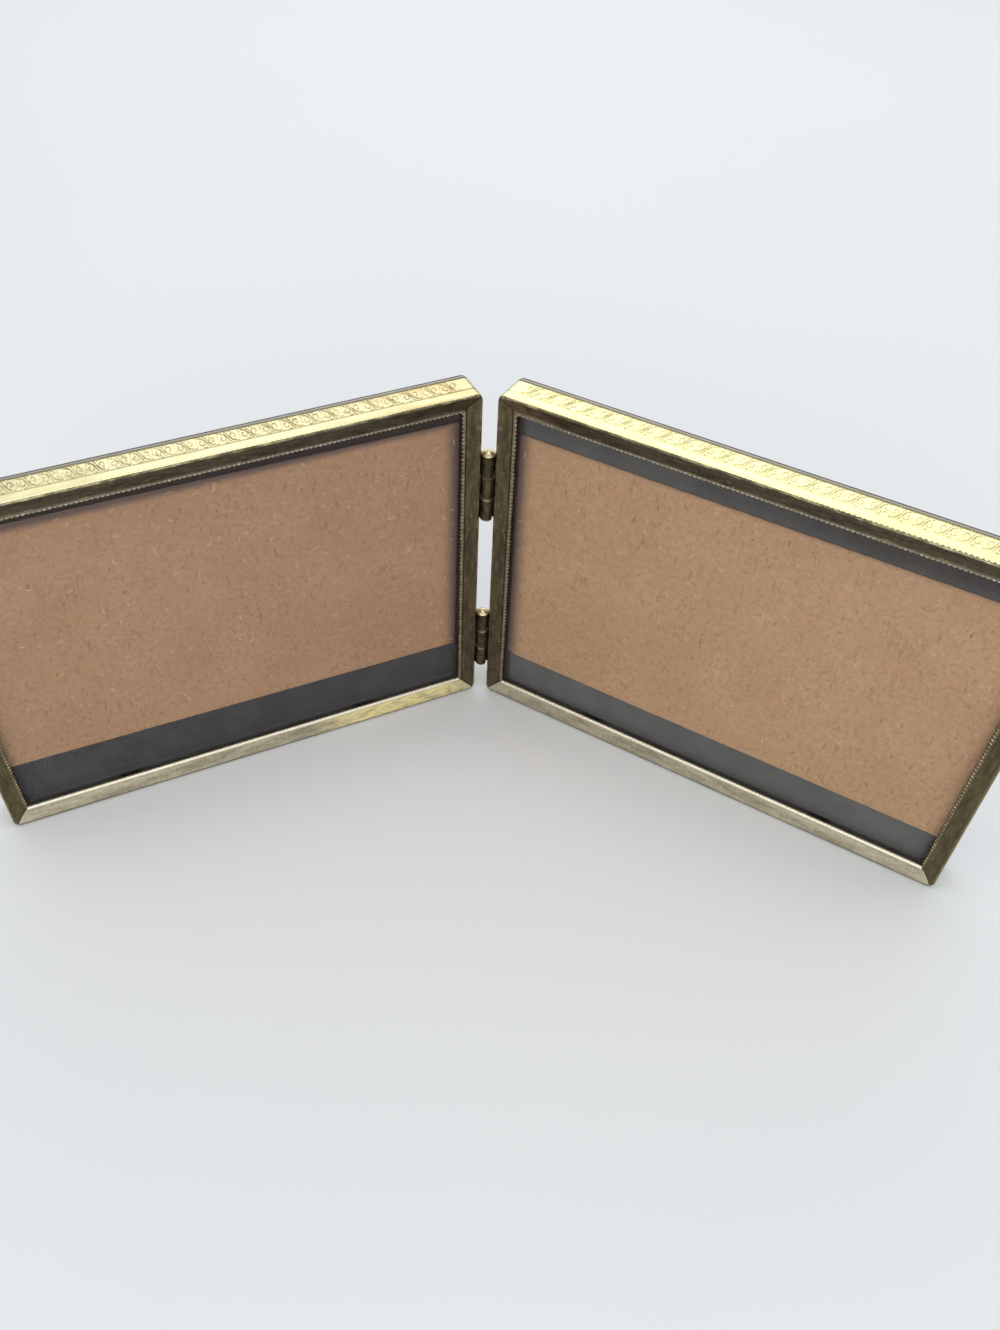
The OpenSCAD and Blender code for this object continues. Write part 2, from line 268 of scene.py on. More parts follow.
def face_tone(f, at, side, rail):
    """Dark lacquer rubbed thin in streaks across the strip, with painted light laid on it: a
    brighter tone on the bottom rail, a painted reflection on the left one, and painted highlights
    and shade at its edges.
    """
    dark, light = RAIL_FACE[rail]
    share = f.plus(f.times(at.streak, 0.28), f.times(at.rub, 0.40))
    share = f.plus(share, f.times(at.blotch, 0.62))
    face = f.mix(f.ramp(share, 0.42, 0.92), dark, light)
    face = f.mix(f.times(f.ramp(at.rub, 0.58, 0.80), 0.35), face, (0.55, 0.46, 0.25))
    if rail == "bottom_rail" and side == "left":
        # Painted reflection: a bright gold glare on the left bottom rail's face near the hinge
        brightened = f.times(f.window(at.along, 4, 44, 9), f.ramp(at.rub, 0.34, 0.60, 0.30, 0.95))
        face = f.mix(brightened, face, (1.0, 0.86, 0.40))
    if rail == "top_rail" and side == "right":
        worn = f.times(f.ramp(at.along, 20, 4), f.ramp(at.rub, 0.34, 0.62, 0.2, 0.8))
        face = f.mix(worn, face, (0.34, 0.26, 0.18))
    # The crest line is rubbed brass with a painted highlight, painted brightest and creamiest on the
    # bottom rail
    low, high, soft, strength = RAIL_CREST[rail]
    crest = f.window(at.across, low, high, soft)
    line = f.times(crest, f.ramp(at.speck, 0.30, 0.62, 0.6 * strength, strength))
    cream = (1.0, 0.93, 0.74) if rail == "bottom_rail" else (0.80, 0.72, 0.52)
    face = f.mix(line, face, cream)
    if rail == "bottom_rail":
        # Painted shade: a dark line along the bottom rail's outer arris where it turns under towards
        # the floor
        foot = f.times(f.ramp(at.across, 0.66, 0.44), 0.92)
        return f.mix(foot, face, (0.035, 0.030, 0.022))
    # Along the outer arris the brass is rubbed bare and painted lighter as a highlight, least on the
    # outer stile
    worn_edge_highlight = f.ramp(at.rub, 0.40, 0.70, 0.1, 0.25 if rail == "outer_stile" else 0.75)
    return f.mix(f.times(f.window(at.across, 0.10, 0.62, 0.14), worn_edge_highlight), face, (0.66, 0.57, 0.34))


def wall_tone(f, at, wall, side, rail):
    """Pale gold, with brown left in the pressed marks and darker along the lines of the outer wall,
    and painted light: paler on the right leaf, darker on all walls but the top, glints, and a grey
    rim dark at its back.
    """
    # The right leaf's walls are painted paler as a painted highlight, where the lamp's reflection
    # washes them out
    pale = (1.0, 0.95, 0.49) if side == "right" else (0.80, 0.75, 0.45)
    warm = (0.64, 0.52, 0.20) if side == "right" else (0.40, 0.34, 0.15)
    # Walls other than the top one are painted darker as painted shade, facing away from the overhead
    # light
    if rail != "top_rail":
        side_wall_shade = (0.42, 0.36, 0.34) if rail == "outer_stile" else (0.62, 0.60, 0.60)
        pale, warm = (tuple(t * c for t, c in zip(side_wall_shade, tone)) for tone in (pale, warm))
    band = f.window(at.depth, *PRESSED_BAND, 0.25)
    marks = f.times(band, f.ramp(at.press, 0.48, 0.62))
    # On the right leaf the marks fade along the wall, washed out by the same painted highlight
    if side == "right":
        marks = f.times(marks, f.ramp(at.along, 15, 95, 0.34, 0.10))
    stain = f.calc("MAXIMUM", f.times(marks, 0.62), f.ramp(at.blotch, 0.62, 0.80, 0.0, 0.25))
    gold = f.mix(stain, pale, warm)
    if side == "left":
        amber = f.times(f.ramp(at.along, 46, 8), f.ramp(at.blotch, 0.36, 0.62, 0.10, 0.65))
        gold = f.mix(amber, gold, (0.74, 0.54, 0.24))
    # Painted glints on the pressed band
    glint = f.times(band, f.ramp(at.glint, 0.60, 0.70, 0.0, 0.85))
    gold = f.mix(glint, gold, (1.0, 0.98, 0.86))
    front_line = f.times(f.window(at.depth, *FRONT_LINE, 0.06), 0.5 if side == "left" else 0.12)
    lines = f.plus(front_line, f.window(at.depth, *BACK_GROOVE, 0.06), clamp=True)
    gold = f.mix(f.times(f.times(lines, wall), 0.85), gold, (0.10, 0.075, 0.035))
    # The rim is painted grey as a painted reflection, then dark along its back edge as painted shade
    gold = f.mix(f.times(f.ramp(at.depth, *RIM_START), 0.9), gold, (0.24, 0.235, 0.21))
    return f.mix(f.ramp(at.depth, *RIM_END, 0.0, 0.92), gold, (0.030, 0.028, 0.024))


def rail_finish(side, rail):
    f = Finish(f"{side}_{rail}_aged_brass", metal=1.0)
    at = RailMap(f, side, rail)
    wall = wall_share(f, at, side, rail)
    tone = f.mix(wall, face_tone(f, at, side, rail), wall_tone(f, at, wall, side, rail))

    # Inside the channel the strip was never polished, and it is painted dark there as the channel's
    # shade
    behind = f.ramp(f.minus(at.depth, f.times(at.across, FACE_RISE)), 0.28, 0.48)
    inside = f.times(behind, f.window(at.across, 0.5, 3.8, 0.06))
    inside = f.times(inside, f.ramp(at.depth, 8.8, 8.6))
    unpolished_and_shaded = (0.042, 0.040, 0.032) if rail == "bottom_rail" else (0.050, 0.042, 0.038)
    tone = f.mix(inside, tone, unpolished_and_shaded)
    polished = f.minus(1.0, inside)
    f.put(f.shader.inputs["Metallic"], polished)

    # Dark seams where the mitred ends meet
    near = f.minus(at.along, at.across)
    far = f.minus(f.minus(at.length, at.along), at.across)
    seam = f.calc("MINIMUM", f.calc("ABSOLUTE", near), f.calc("ABSOLUTE", far))
    seam = f.ramp(seam, 0.22, 0.07)
    f.colour(f.mix(f.times(seam, 0.9), tone, (0.012, 0.010, 0.007)))

    dull = f.ramp(at.blotch, 0.35, 0.75, 0.26, 0.42)
    dull = f.plus(dull, f.times(f.minus(at.speck, 0.5), 0.20))
    f.rough(f.plus(dull, f.times(inside, 0.6), clamp=True))
    beat = f.plus(f.times(at.streak, 0.22), f.times(at.press, 0.5))
    beat = f.minus(beat, f.times(seam, 1.5))
    f.relief(f.times(beat, polished), 0.06, 0.5)
    f.wear(f"{side}_{rail}")


# Brass of the pressed ornament and of the milled bead


def ornament_finish(name, low, high, rough):
    f = Finish(name, metal=1.0)
    mm = f.object_mm()
    patch = f.noise(mm, 0.35, 4.0, 0.6)
    speck = f.noise(mm, 3.2, 3.0, 0.6)
    share = f.plus(f.times(patch, 0.6), f.times(speck, 0.5))
    f.colour(f.mix(f.ramp(share, 0.40, 0.70), low, high))
    f.rough(f.ramp(speck, 0.3, 0.7, rough, rough + 0.16))
    f.relief(speck, 0.03, 0.5)
    return f.mat


# Dark brass of the hinges, rubbed bright at the ends of each knuckle

# Half of the height of each rubbed band, and its softness
RUB_HALF, RUB_SOFT = 0.28, 0.16


def hinge_finish(place, side):
    f = Finish(f"{place}_{side}_hinge_brass", metal=1.0)
    mm = f.object_mm()
    z = f.split(mm)[2]
    patch = f.noise(mm, 0.45, 5.0, 0.62)
    scratch = f.noise(f.stretch(mm, (4.0, 4.0, 0.3)), 1.0, 3.0, 0.6)
    share = f.plus(f.times(patch, 0.7), f.times(scratch, 0.4))
    tone = f.mix(f.ramp(share, 0.42, 0.72), (0.050, 0.042, 0.022), (0.15, 0.125, 0.070))
    worn = 0.0
    for level in HINGE_LEVELS:
        for i in range(KNUCKLES + 1):
            end = level + i * KNUCKLE_STEP - KNUCKLE_GAP / 2
            mark = f.window(z, end - RUB_HALF, end + RUB_HALF, RUB_SOFT)
            worn = f.calc("MAXIMUM", worn, mark)
    brightened = f.times(worn, f.ramp(patch, 0.35, 0.62, 0.15, 0.9))
    f.colour(f.mix(brightened, tone, (0.62, 0.53, 0.33)))
    f.rough(f.ramp(scratch, 0.3, 0.7, 0.26, 0.44))
    f.relief(f.plus(patch, scratch), 0.04, 0.5)
    f.wear(f"{place}_hinge_{side}_leaf")


# Dark tone, bright tone and roughness of the small parts
SMALL_BRASS = {
    "tab": ((0.30, 0.25, 0.13), (0.58, 0.50, 0.29), 0.30),
    "rivet": ((0.40, 0.34, 0.19), (0.74, 0.66, 0.44), 0.26),
    "pin": ((0.52, 0.43, 0.22), (0.92, 0.83, 0.56), 0.22),
}


def small_brass(place, part, node_name):
    low, high, rough = SMALL_BRASS[part]
    f = Finish(f"{place}_{part}_brass", metal=1.0)
    mm = f.object_mm()
    patch = f.noise(mm, 1.1, 4.0, 0.6)
    turn = f.noise(f.stretch(mm, (1.2, 1.2, 9.0)), 1.0, 2.0, 0.5)
    f.colour(f.mix(f.ramp(patch, 0.34, 0.66), low, high))
    f.rough(f.ramp(turn, 0.3, 0.7, rough, rough + 0.14))
    f.relief(f.plus(patch, turn), 0.02, 0.5)
    f.wear(node_name)


# Card, board, cloth, steel and glass

CARD_TONE = {
    "left": ((0.394, 0.227, 0.128), (0.426, 0.252, 0.146)),
    "right": ((0.455, 0.270, 0.150), (0.488, 0.296, 0.167)),
}
# The rail's shade on the card's top: from and to below the leaf's top, and how dark
CARD_TOP_SHADE = {"left": (8.2, 10.6, 0.85), "right": (10.6, 12.2, 0.45)}


def card_finish(side):
    f = Finish(f"{side}_kraft_card", rough=0.92)
    f.shader.inputs["Specular IOR Level"].default_value = 0.2
    mm = f.leaf_place(side)
    x, _, z = f.split(mm)
    cloud = f.noise(mm, 0.05, 3.0, 0.5)
    pulp = f.noise(mm, 0.8, 4.0, 0.7)
    olive = f.noise(f.stretch(mm, (1.0, 1.0, 1.0), place=(9, 40, 3)), 0.55, 3.0, 0.6)
    laid = f.noise(f.stretch(mm, (0.33, 1.0, 1.4), (0, 0.35, 0)), 1.0, 4.0, 0.65, 0.9)
    hair = f.noise(f.stretch(mm, (1.25, 1.0, 0.42), (0, 0.6, 0)), 1.0, 3.0, 0.6, 1.2)
    dirt = f.noise(mm, 0.75, 2.0, 0.5)
    low, high = CARD_TONE[side]
    base = f.mix(f.ramp(cloud, 0.35, 0.68), low, high)
    base = f.mix(f.ramp(pulp, 0.42, 0.62, 0.0, 0.42), base, tuple(0.74 * c for c in low))
    base = f.mix(f.ramp(olive, 0.50, 0.62, 0.0, 0.26), base, (0.36, 0.29, 0.16))
    base = f.mix(f.ramp(laid, 0.54, 0.68, 0.0, 0.45), base, tuple(1.22 * c for c in high))
    base = f.mix(f.ramp(hair, 0.57, 0.68, 0.0, 0.60), base, tuple(0.50 * c for c in low))
    base = f.mix(f.ramp(dirt, 0.70, 0.76, 0.0, 0.65), base, (0.13, 0.08, 0.05))
    # Painted shade cast by the lips on the card: along the hinge side, below the top rail and
    # faintly along the outer side
    inner = f.ramp(x, 4.7, 9.2, 0.86, 0.0)
    start, end, dark = CARD_TOP_SHADE[side]
    top = f.ramp(f.minus(LEAF_H, z), start, end, dark, 0.0)
    outer = f.ramp(f.minus(LEAF_W, x), 4.6, 6.0, 0.15, 0.0)
    shade = f.calc("MAXIMUM", inner, f.calc("MAXIMUM", top, outer))
    f.colour(f.mix(shade, base, (0.080, 0.055, 0.058)))
    f.relief(cloud, 0.05, 0.3)
    return f.mat


def fibre_finish(name, low, high):
    f = Finish(name, rough=0.8)
    mm = f.object_mm()
    f.colour(f.mix(f.ramp(f.noise(mm, 0.9, 2.0), 0.35, 0.65), low, high))
    return f.mat


BOARD_TONE = {
    "left": ((0.050, 0.048, 0.049), (0.066, 0.063, 0.064)),
    "right": ((0.104, 0.103, 0.099), (0.126, 0.124, 0.119)),
}


def board_finish(side):
    f = Finish(f"{side}_black_board", rough=0.82)
    f.shader.inputs["Specular IOR Level"].default_value = 0.12
    mm = f.leaf_place(side)
    x, _, z = f.split(mm)
    cloud = f.noise(mm, 0.16, 4.0, 0.6)
    grain = f.noise(mm, 0.7, 2.0, 0.5)
    scuff = f.noise(f.stretch(mm, (0.22, 1.0, 0.9)), 1.0, 2.0, 0.5)
    low, high = BOARD_TONE[side]
    base = f.mix(f.ramp(cloud, 0.34, 0.68), low, high)
    base = f.mix(f.ramp(scuff, 0.58, 0.76, 0.0, 0.4), base, tuple(1.3 * c for c in high))
    base = f.mix(f.ramp(grain, 0.54, 0.70, 0.0, 0.25), base, tuple(0.6 * c for c in low))
    # Painted light: the board's low part is painted lighter, against the shade under the bottom lip
    base = f.mix(f.ramp(z, 2.6, 6.4, 0.8, 0.0), base, (0.15, 0.145, 0.145))
    # Painted shade under the top rail, deep on the left leaf and deepening along the right one
    top = f.ramp(f.minus(LEAF_H, z), 8.0, 13.5, 1.0, 0.0)
    deep = 0.95 if side == "left" else f.ramp(x, 15, 110, 0.30, 0.72)
    base = f.mix(f.times(top, deep), base, (0.030, 0.019, 0.015))
    # Painted shade along the board's sides by the sight edges
    sides = f.ramp(f.calc("MINIMUM", x, f.minus(LEAF_W, x)), 4.8, 6.4, 0.8, 0.0)
    f.colour(f.mix(sides, base, (0.060, 0.042, 0.040)))
    f.rough(f.ramp(grain, 0.3, 0.7, 0.75, 0.92))
    f.wear(f"{side}_backing_board")


def cloth_finish(side):
    f = Finish(f"{side}_back_cloth", rough=0.95)
    f.shader.inputs["Sheen Weight"].default_value = 0.45
    f.shader.inputs["Sheen Roughness"].default_value = 0.45
    f.shader.inputs["Sheen Tint"].default_value = (0.55, 0.56, 0.62, 1)
    mm = f.leaf_place(side)
    nap = f.noise(f.stretch(mm, (2.2, 1.0, 1.4)), 1.0, 5.0, 0.7)
    brush = f.noise(f.stretch(mm, (0.05, 0.05, 0.12), (0, 0.5, 0)), 1.0, 3.0, 0.55)
    lint = f.noise(mm, 1.3, 2.0, 0.5, 1.5)
    base = f.mix(f.ramp(brush, 0.28, 0.76), (0.013, 0.013, 0.015), (0.033, 0.033, 0.037))
    base = f.mix(f.ramp(nap, 0.42, 0.68, 0.0, 0.6), base, (0.055, 0.055, 0.060))
    base = f.mix(f.ramp(lint, 0.72, 0.80, 0.0, 0.5), base, (0.25, 0.24, 0.22))
    f.colour(base)
    f.relief(nap, 0.25, 0.8)
    f.wear(f"{side}_back_cover")


def steel_finish(side):
    f = Finish(f"{side}_key_steel", metal=1.0)
    mm = f.object_mm()
    rolled = f.noise(f.stretch(mm, (0.6, 0.6, 5.0)), 1.0, 3.0, 0.6)
    rust = f.noise(mm, 0.7, 5.0, 0.65)
    steel = f.mix(rolled, (0.34, 0.34, 0.33), (0.52, 0.52, 0.51))
    f.colour(f.mix(f.ramp(rust, 0.60, 0.74, 0.0, 0.7), steel, (0.20, 0.10, 0.05)))
    f.rough(f.ramp(rust, 0.45, 0.72, 0.32, 0.75))
    f.relief(rolled, 0.03, 0.5)
    f.wear(f"{side}_corner_keys")


def glass_finish(side):
    """Thin clear picture glass that mirrors a little, with faint dusty smears."""
    f = Finish(f"{side}_picture_glass", metal=1.0)
    f.shader.inputs["Base Color"].default_value = (0.95, 0.98, 0.97, 1)
    smear = f.noise(f.stretch(f.leaf_place(side), (0.03, 0.03, 0.09)), 1.0, 4.0, 0.6)
    f.rough(f.ramp(smear, 0.45, 0.75, 0.15, 0.28))
    f.shader.inputs["Alpha"].default_value = 0.010
    return f.mat


# Node trees for what repeats


class UnitTree(Nodes):
    """Lays a unit on points: a mesh in and out, and named inputs for the sizes, seed and finish."""

    def __init__(self, name, sizes):
        super().__init__(bpy.data.node_groups.new(name, "GeometryNodeTree"))
        kinds = {"Geometry": "Geometry", "Unit": "Object"}
        kinds.update({key: "Float" for key in sizes})
        kinds.update({"Seed": "Int", "Finish": "Material"})
        for key, kind in kinds.items():
            self.socket(key, "INPUT", kind)
        self.socket("Geometry", "OUTPUT", "Geometry")
        self.given = self.tree.nodes.new("NodeGroupInput").outputs

    def socket(self, key, way, kind):
        self.tree.interface.new_socket(key, in_out=way, socket_type="NodeSocket" + kind)

    def lay(self, points, turn, size):
        """Ends the tree: a unit on every point, made real and given its finish."""
        unit = self.add("GeometryNodeObjectInfo", {"Object": self.given["Unit"]})
        place = {"Points": points, "Instance": unit.outputs["Geometry"]}
        place.update({"Rotation": turn, "Scale": size})
        laid = self.add("GeometryNodeInstanceOnPoints", place)
        real = self.add("GeometryNodeRealizeInstances", {0: laid.outputs[0]})
        coat = {"Geometry": real.outputs[0], "Material": self.given["Finish"]}
        coated = self.add("GeometryNodeSetMaterial", coat)
        self.tree.links.new(coated.outputs[0], self.tree.nodes.new("NodeGroupOutput").inputs[0])
        return self.tree


def run_tree():
    """Repeats a unit at an even pitch along the paths, its top turned outward."""
    t = UnitTree("run_along_strip", ("Pitch", "Length spread", "Height spread"))
    curve = t.add("GeometryNodeMeshToCurve", {0: t.given["Geometry"]}).outputs[0]
    steps = {"Curve": curve, "Length": t.given["Pitch"]}
    even = t.add("GeometryNodeResampleCurve", steps, mode="LENGTH").outputs[0]
    wall = t.add("GeometryNodeInputNamedAttribute", {"Name": "outward"}, data_type="FLOAT_VECTOR")
    up = {"Vector": wall.outputs["Attribute"]}
    stand = t.add("FunctionNodeAlignRotationToVector", up, axis="Z").outputs[0]
    along = {"Rotation": stand, "Vector": t.add("GeometryNodeInputTangent").outputs[0]}
    lie = t.add("FunctionNodeAlignRotationToVector", along, axis="X", pivot_axis="Z").outputs[0]
    size = []
    for i, key in enumerate(("Length spread", "Height spread")):
        low = t.add("ShaderNodeMath", {0: 1.0, 1: t.given[key]}, operation="SUBTRACT").outputs[0]
        seed = t.add("ShaderNodeMath", {0: t.given["Seed"], 1: float(i)}, operation="ADD").outputs[0]
        chance = {2: low, 3: 1.0, "Seed": seed}
        size.append(t.add("FunctionNodeRandomValue", chance, data_type="FLOAT").outputs[1])
    scale = t.add("ShaderNodeCombineXYZ", {0: size[0], 1: 1.0, 2: size[1]}).outputs[0]
    return t.lay(even, lie, scale)


def scatter_tree():
    """Scatters a unit over a sheet, turned at random in its plane."""
    t = UnitTree("scatter_on_sheet", ("Density", "Smallest"))
    seed = t.given["Seed"]
    sheet = {"Mesh": t.given["Geometry"], "Density": t.given["Density"], "Seed": seed}
    spots = t.add("GeometryNodeDistributePointsOnFaces", sheet)
    chance = {0: (0, 0, 0), 1: (0, 0, math.tau), "Seed": seed}
    turn = t.add("FunctionNodeRandomValue", chance, data_type="FLOAT_VECTOR").outputs[0]
    spin = t.add("FunctionNodeEulerToRotation", {0: turn}).outputs[0]
    both = {"Rotation": spots.outputs["Rotation"], "Rotate By": spin}
    turned = t.add("FunctionNodeRotateRotation", both, rotation_space="LOCAL").outputs[0]
    chance = {2: t.given["Smallest"], 3: 1.0, "Seed": seed}
    size = t.add("FunctionNodeRandomValue", chance, data_type="FLOAT").outputs[1]
    return t.lay(spots.outputs[0], turned, size)


def made_by(tree, base, unit, finish, sizes):
    """Runs a tree on a base mesh and returns the result as a plain mesh."""
    work = bpy.data.objects.new("work", base)
    helper = bpy.data.objects.new("unit", unit)
    for obj in (work, helper):
        bpy.context.scene.collection.objects.link(obj)
    maker = work.modifiers.new("maker", "NODES")
    maker.node_group = tree
    ids = {s.name: s.identifier for s in tree.interface.items_tree if s.in_out == "INPUT"}
    for key, value in {"Unit": helper, **sizes, "Finish": finish}.items():
        maker[ids[key]] = value
    graph = bpy.context.evaluated_depsgraph_get()
    made = work.evaluated_get(graph)
    mesh = bpy.data.meshes.new_from_object(made, preserve_all_data_layers=True, depsgraph=graph)
    for obj in (work, helper):
        bpy.data.objects.remove(obj)
    return mesh


def path_mesh(runs):
    """Straight runs from start to end, each with the direction its wall faces."""
    points, edges, outward = [], [], []
    for start, end, out in runs:
        edges.append((len(points), len(points) + 1))
        points += [start, end]
        outward += [out, out]
    mesh = bpy.data.meshes.new("runs")
    mesh.from_pydata(points, edges, [])
    layer = mesh.attributes.new("outward", "FLOAT_VECTOR", "POINT")
    layer.data.foreach_set("vector", [c for v in outward for c in v])
    return mesh


# Units that the trees repeat, in millimetres

# How far a unit's foot is sunk in the surface under it
SINK = 0.03
# The running scroll: its lines are drawn long, then squeezed to the pitch
SCROLL_PITCH, SCROLL_SQUEEZE = 4.8, 0.52
SCROLL_STEM = (
    (-4.35, -1.85), (-3.3, -2.05), (-2.1, -1.75), (-1.0, -0.95),
    (-0.35, 0.1), (-0.1, 1.0), (0.35, 1.75), (1.0, 2.1),
)
SCROLL_LEAF = ((-0.5, 1.9), (-1.0, 2.15), (-1.6, 2.22), (-2.1, 2.1))
SCROLL_SEEDS = ((4.15, 0.9), (4.15, -0.9), (4.5, 0.0))
SEED_R, SEED_TOP = 0.24, 0.12
BEAD_PITCH, BEAD_R, BEAD_EDGES = 1.12, 0.60, 10
FIBRE_LENGTH, FIBRE_WIDTH, FIBRE_TOP = 1.9, 0.17, 0.015


def skin(bm, rings):
    """Joins rings of points one after another and closes both ends."""
    for a, b in zip(rings, rings[1:]):
        for i in range(len(a)):
            j = (i + 1) % len(a)
            bm.faces.new((a[i], a[j], b[j], b[i]))
    bm.faces.new(rings[0][::-1])
    bm.faces.new(rings[-1])


def ribbon(bm, line, widths, height):
    """A raised ribbon with a rounded back and pointed ends along a flat line."""
    rows = []
    for i, (x, y) in enumerate(line):
        before, after = line[max(i - 1, 0)], line[min(i + 1, len(line) - 1)]
        way = Vector((after[0] - before[0], after[1] - before[1])).normalized()
        side = Vector((-way.y, way.x)) * widths[i]
        crown = height * (0.35 + 0.65 * widths[i] / max(widths))
        rows.append([bm.verts.new(v) for v in (
            (x + side.x, y + side.y, -SINK),
            (x + side.x * 0.45, y + side.y * 0.45, crown),
            (x - side.x * 0.45, y - side.y * 0.45, crown),
            (x - side.x, y - side.y, -SINK),
        )])
    skin(bm, rows)


def curl(cx, cy, radius, start, sweep, shrink, steps):
    """Points of a spiral about a centre, in degrees."""
    out = []
    for i in range(steps + 1):
        share = i / steps
        a = math.radians(start + sweep * share)
        r = radius * (1 - (1 - shrink) * share)
        out.append((cx + r * math.cos(a), cy + r * math.sin(a)))
    return out


def taper(count, wide, thin):
    """Widths that swell from thin to wide and back."""
    shares = [0.12 + 0.76 * i / (count - 1) for i in range(count)]
    return [thin + (wide - thin) * math.sin(math.pi * share) for share in shares]


def scroll_unit():
    """One repeat of the running scroll: two opposed curls with a stem and a leaf each, and seeds."""
    bm = bmesh.new()
    strokes = (
        (curl(-2.4, 0.15, 1.75, -110, 400, 0.28, 15), 0.27, 0.10, 0.13),
        (SCROLL_STEM, 0.30, 0.09, 0.14),
        (SCROLL_LEAF, 0.24, 0.06, 0.12),
    )
    for turn in (1, -1):
        for line, wide, thin, height in strokes:
            turned = [(turn * x, turn * y) for x, y in line]
            ribbon(bm, turned, taper(len(line), wide, thin), height)
    for x, y in SCROLL_SEEDS:
        rings = []
        for radius, level in ((SEED_R, -SINK), (SEED_R * 0.55, SEED_TOP)):
            round_once = curl(x, y, radius, 0, 360, 1.0, 6)[:-1]
            rings.append([bm.verts.new((*spot, level)) for spot in round_once])
        skin(bm, rings)
    bmesh.ops.scale(bm, vec=(SCROLL_SQUEEZE, 1, 1), verts=bm.verts)
    return closed(bm, "scroll_unit")


def bead_unit(length):
    """One long bead of the milled edge, round across and tapered at its ends."""
    bm = bmesh.new()
    turns = [math.tau * i / BEAD_EDGES for i in range(BEAD_EDGES)]
    rings = []
    for share in (-0.96, -0.74, -0.3, 0.3, 0.74, 0.96):
        x, r = length / 2 * share, BEAD_R * math.sqrt(1 - share * share) ** 0.7
        rings.append([bm.verts.new((x, r * math.cos(a), r * math.sin(a))) for a in turns])
    skin(bm, rings)
    return closed(bm, "bead_unit")


def fibre_unit():
    """A paper fibre: a short bent sliver that tapers to both ends."""
    bm = bmesh.new()
    widths = [FIBRE_WIDTH * share for share in (0.25, 0.8, 1.0, 0.9, 0.7, 0.2)]
    line = []
    for i in range(len(widths)):
        share = i / (len(widths) - 1)
        bend = FIBRE_LENGTH * (0.22 if share < 0.5 else 0.176)
        line.append((FIBRE_LENGTH * (share - 0.5), bend * math.sin(math.pi * share)))
    ribbon(bm, line, widths, FIBRE_TOP)
    return closed(bm, "fibre_unit")


def closed(bm, name):
    bmesh.ops.recalc_face_normals(bm, faces=bm.faces)
    mesh = bpy.data.meshes.new(name)
    bm.to_mesh(mesh)
    bm.free()
    return mesh


# Pieces that stand for the pane and the card of each leaf

# The pane in its seat: its play at the edges, before it and behind it, and its cut edge
PANE_PLAY, PANE_FRONT, PANE_BACK, PANE_CUT = 0.02, 0.01, 0.06, 0.18
# Steps along the card's four edges, and how far the shear wavers
CARD_STEPS, CARD_WAVER = (120, 68, 120, 68), 0.05
# Rings of the card's rim: how far in from its size, and how far back from its front
CARD_RIM = ((0.18, 0.02), (0.05, 0.08), (0.05, CARD_T - 0.08), (0.18, CARD_T - 0.02))
# The sheet that carries the fibres: how far in from the card's size, and back from its front
FIBRE_INSET, FIBRE_DEPTH = 1.2, 0.022


def pane_mesh():
    """The glass with its cut edges taken off, a hair clear of the card behind."""
    bm = bmesh.new()
    bmesh.ops.create_cube(bm, size=1)
    edge, front, back = SIGHT_EDGE + PANE_PLAY, GLASS_Y + PANE_FRONT, GLASS_Y + GLASS_T - PANE_BACK
    low, high = (edge, front, edge), (LEAF_W - edge, back, LEAF_H - edge)
    for v in bm.verts:
        v.co = Vector(high[i] if v.co[i] > 0 else low[i] for i in range(3))
    bmesh.ops.bevel(bm, geom=bm.edges, offset=PANE_CUT, segments=2, affect="EDGES", profile=0.5)
    return closed(bm, "pane")


def card_outline(inset):
    """Points round the card, a little inside its edge."""
    x, z = CARD_W / 2 - inset, CARD_H / 2 - inset
    corners = ((-x, -z), (x, -z), (x, z), (-x, z))
    points = []
    for i, steps in enumerate(CARD_STEPS):
        (x0, z0), (x1, z1) = corners[i], corners[(i + 1) % 4]
        points += [(x0 + (x1 - x0) * n / steps, z0 + (z1 - z0) * n / steps) for n in range(steps)]
    return points


def card_mesh(side):
    """The card, with a sheared edge that wavers a little and softened rims."""
    rng = random.Random(11 if side == "left" else 23)
    waver = [rng.uniform(-CARD_WAVER, CARD_WAVER) for _ in range(sum(CARD_STEPS))]
    bm = bmesh.new()
    rings = []
    for inset, y in CARD_RIM:
        spots = zip(card_outline(inset), waver)
        rings.append([bm.verts.new((x + shift, y, z + shift)) for (x, z), shift in spots])
    skin(bm, rings)
    mesh = closed(bm, "card")
    mesh.transform(card_place(side))
    return mesh


def card_place(side):
    tilt = Matrix.Rotation(-math.radians(CARD_TILT[side]), 4, "Y")
    return Matrix.Translation((LEAF_W / 2, CARD_Y, LEAF_H / 2 + CARD_LIFT[side])) @ tilt


def sheet_mesh(side):
    """The card's front plane, on which the fibres lie."""
    w, h = CARD_W / 2 - FIBRE_INSET, CARD_H / 2 - FIBRE_INSET
    corners = [(x, FIBRE_DEPTH, z) for x, z in ((-w, -h), (w, -h), (w, h), (-w, h))]
    mesh = bpy.data.meshes.new("card_front")
    mesh.from_pydata(corners, [], [(0, 1, 2, 3)])
    mesh.transform(card_place(side))
    return mesh


# Runs of the ornament and of the bead

# How far the ornament stays from the corners, and half of one repeat with a hair to spare
CORNER_CLEAR, SCROLL_HALF = 4, 2.45
# How much further in and forward the beads' line is than the lip's, and where it stops
BEAD_IN = {"top": 0.24, "bottom": 0.08, "hinge": 0.24, "outer": 0.24}
BEAD_FORWARD, BEAD_STOP = 0.10, 0.85


